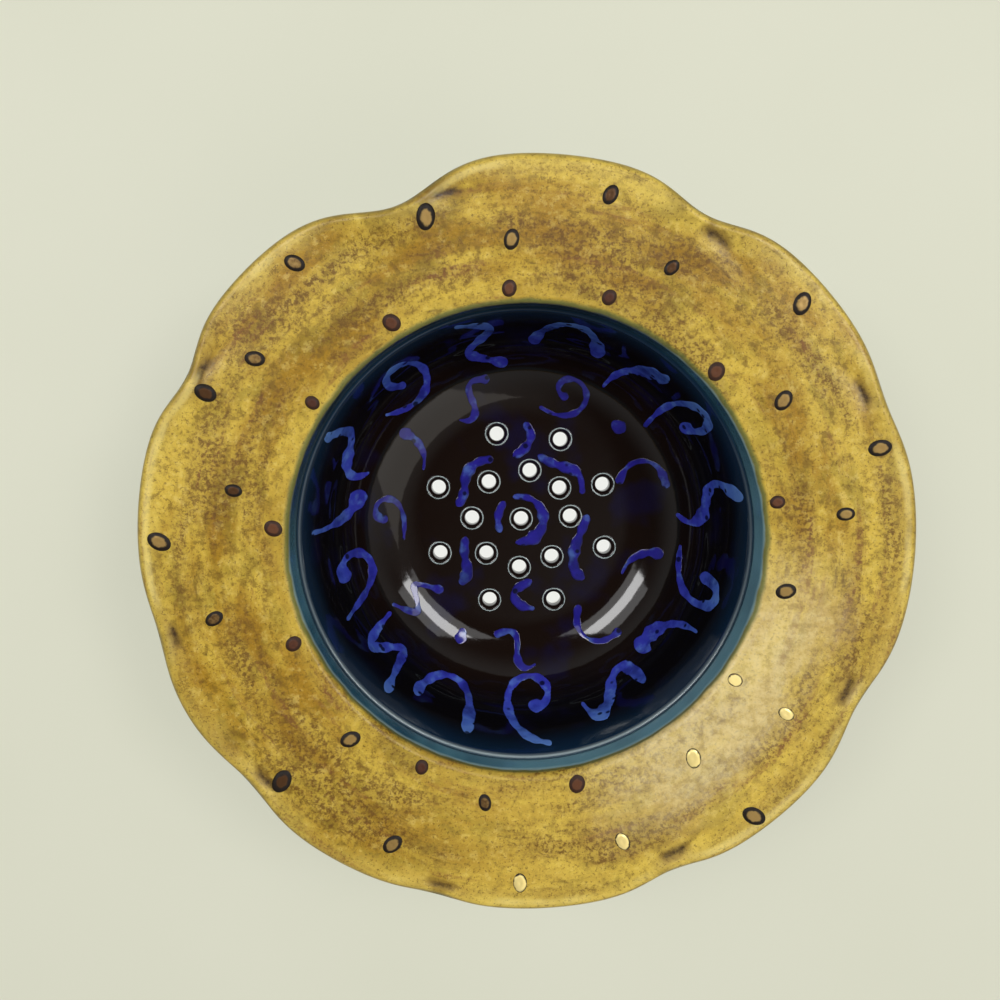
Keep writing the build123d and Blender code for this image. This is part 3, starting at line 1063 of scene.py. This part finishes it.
# %% Bare clay
clay, n, shader = finish("bare_clay")
place = n.node("ShaderNodeTexCoord", {}, {}, "Object")
body = n.mix(n.noise(place, 90.0, 5.0, 0.6), tint(168, 140, 108), tint(200, 176, 144))
specks = n.step(n.noise(place, 1300.0, 2.0), 0.62, 0.70)
n.feed(shader.inputs["Base Color"], n.mix(specks * 0.7, body, tint(92, 64, 44)))
n.feed(shader.inputs["Roughness"], 0.72 + n.noise(place, 300.0, 2.0) * 0.2)
grit = n.noise(place, 1400.0, 3.0)
bump = n.node("ShaderNodeBump", {}, {"Strength": 0.3, "Distance": 0.0004, "Height": grit})
n.feed(shader.inputs["Normal"], bump)
dress(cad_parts["foot_ring"], clay)
print("foot dressed")

# %% [markdown]
# ## Table, light and camera
# The bowl stands on a pale table and is seen from above, as it was photographed. On each side, behind
# the far edge, a soft box and a brighter strip in front of it make the patches in the well. A large
# weak panel at the near right gives the grey sheen. To the eye the table glows a little, more so
# under the foot, so it stays pale through the holes. That gives the bowl no light and keeps the shadow.

# %% Table
deselect()
bpy.ops.mesh.primitive_plane_add(size=40, location=(0, 0, 0))
table = bpy.context.object
table.name = "table"
paper, n, shader = finish("pale_table", Roughness=0.9, Specular_IOR_Level=0.1)
place = n.node("ShaderNodeTexCoord", {}, {}, "Object")
cream = n.mix(n.noise(place, 6.0, 3.0), tint(211, 212, 192), tint(220, 220, 202))
n.feed(shader.inputs["Base Color"], cream)
seen = n.node("ShaderNodeLightPath", {}, {}, "Is Camera Ray")
mirrored = seen.out("Is Glossy Ray")
through = seen.out("Is Transmission Ray")
away = n.vector("LENGTH", place, output="Value")
under = 1 - n.step(away, 0.034, 0.0355)
pale = n.mix(under, cream, tint(240, 241, 236))
glow = n.node("ShaderNodeEmission", {}, {"Color": pale, "Strength": 1.0})
share = n.math("MINIMUM", 1.0, seen + mirrored + through) * (0.64 + under * 0.34)
blend = n.node("ShaderNodeMixShader", {}, {0: share, 1: Wire(n, shader.outputs[0]), 2: glow})
n.feed(paper.node_tree.nodes["Material Output"].inputs["Surface"], blend)
dress(table, paper)
print("table set")

# %% Lamps
def soft_box(name, spot, size, watts):
    """Rectangular lamp that faces the middle of the bowl."""
    lamp = bpy.data.lights.new(name, "AREA")
    lamp.shape = "RECTANGLE"
    lamp.size, lamp.size_y = size
    lamp.energy = watts
    holder = bpy.data.objects.new(name, lamp)
    bpy.context.collection.objects.link(holder)
    holder.location = spot
    aim = Vector((0, 0, 0.04)) - holder.location
    holder.rotation_euler = aim.to_track_quat("-Z", "Y").to_euler()
    return holder


for name, side in (("left", -1), ("right", 1)):
    soft_box(f"box_far_{name}", (side * 0.43, 0.29, 0.92), (0.36, 0.62), 1.8)
    soft_box(f"tube_far_{name}", (side * 0.38, 0.25, 0.86), (0.34, 0.20), 3.0)
panel = soft_box("panel_near_right", (0.60, -0.60, 0.98), (0.85, 1.0), 2.4)
panel.data.color = (1.0, 0.94, 0.84)

# %% Room
world = bpy.data.worlds.new("studio")
bpy.context.scene.world = world
world.use_nodes = True
n = Finish(world.node_tree)
sky = n.node("ShaderNodeTexCoord", {}, {}, "Generated")
rise = n.node("ShaderNodeSeparateXYZ", {}, {0: sky}, "Z")
room = n.mix(n.step(rise, 0.42, 0.86), (0.60, 0.61, 0.60, 1.0), (0.05, 0.05, 0.05, 1.0))
sheen = n.step(n.vector("DOT_PRODUCT", sky, (0.5, -0.5, 0.707), output="Value"), 0.70, 0.97)
room = n.mix(sheen * 0.5, room, (1.1, 1.1, 1.05, 1.0))
room = n.mix(n.node("ShaderNodeLightPath", {}, {}, "Is Camera Ray"), room, (0.80, 0.81, 0.76, 1.0))
backdrop = world.node_tree.nodes["Background"]
n.feed(backdrop.inputs["Color"], room)
backdrop.inputs["Strength"].default_value = 0.7
print("room light set")

# %% Camera
eye = bpy.data.cameras.new("eye")
eye.sensor_width, eye.lens = 36.0, 32.4
eye.clip_start = 0.01
camera = bpy.data.objects.new("eye", eye)
bpy.context.collection.objects.link(camera)
camera.location = Vector((-8.27, 40.04, 321.33)) * mm
camera.rotation_euler = (-0.10821, -0.00317, 0)
bpy.context.scene.camera = camera
bpy.context.scene.view_settings.view_transform = "Standard"
print("camera at", tuple(round(v, 3) for v in camera.location))

# %% Deselect and update
deselect()
bpy.context.view_layer.update()
